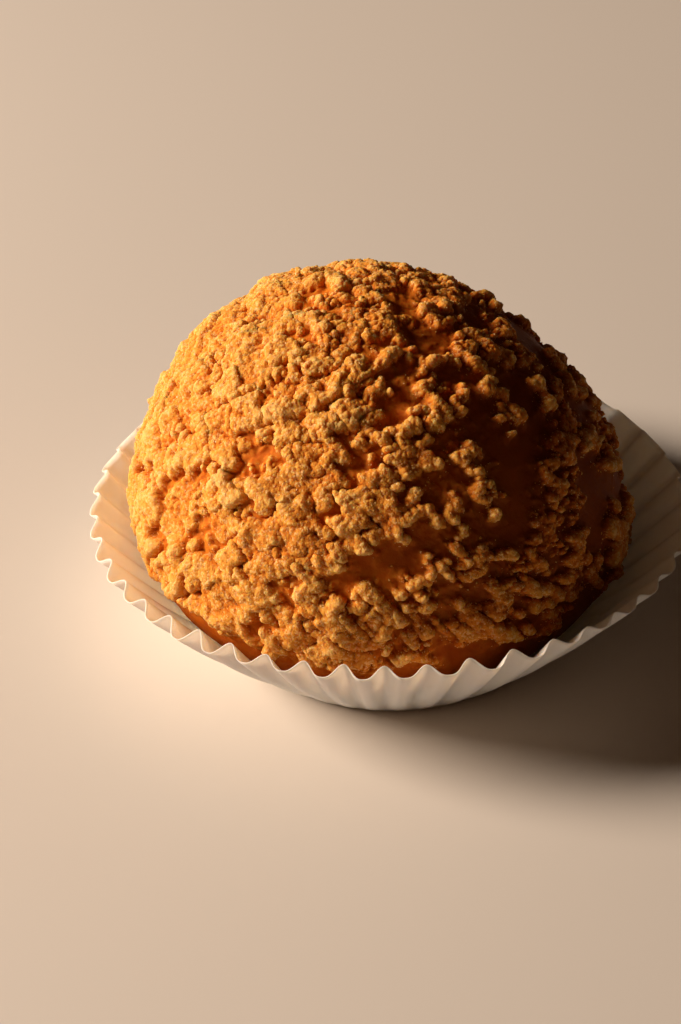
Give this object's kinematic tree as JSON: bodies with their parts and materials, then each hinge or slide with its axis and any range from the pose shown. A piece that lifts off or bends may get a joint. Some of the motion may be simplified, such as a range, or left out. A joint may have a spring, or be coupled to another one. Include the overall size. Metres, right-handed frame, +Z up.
{
  "type": "craquelin cream puff",
  "caption": "Round baked choux bun with a crackled, crumbly sugar-dough crust, resting in a splayed pleated paper case with a flat round base",
  "frame": {"origin": "middle of the underside of the paper case's flat round base, on the surface it stands on", "axes": "+Z up; the front, where the case's wall stands steepest, faces -Y; +X to the right as seen from the front"},
  "size_m": [0.0975, 0.0951, 0.0583],
  "materials": {
    "craquelin_crust": "matt crumbly sugar crust in pale golden pieces on smoother deep amber choux",
    "case_paper": "thin matt white greaseproof paper, pressed in pleats, slightly translucent"
  },
  "bodies": {
    "root": {"cream_puff": "craquelin_crust", "paper_case": "case_paper"}
  },
  "joints": []
}
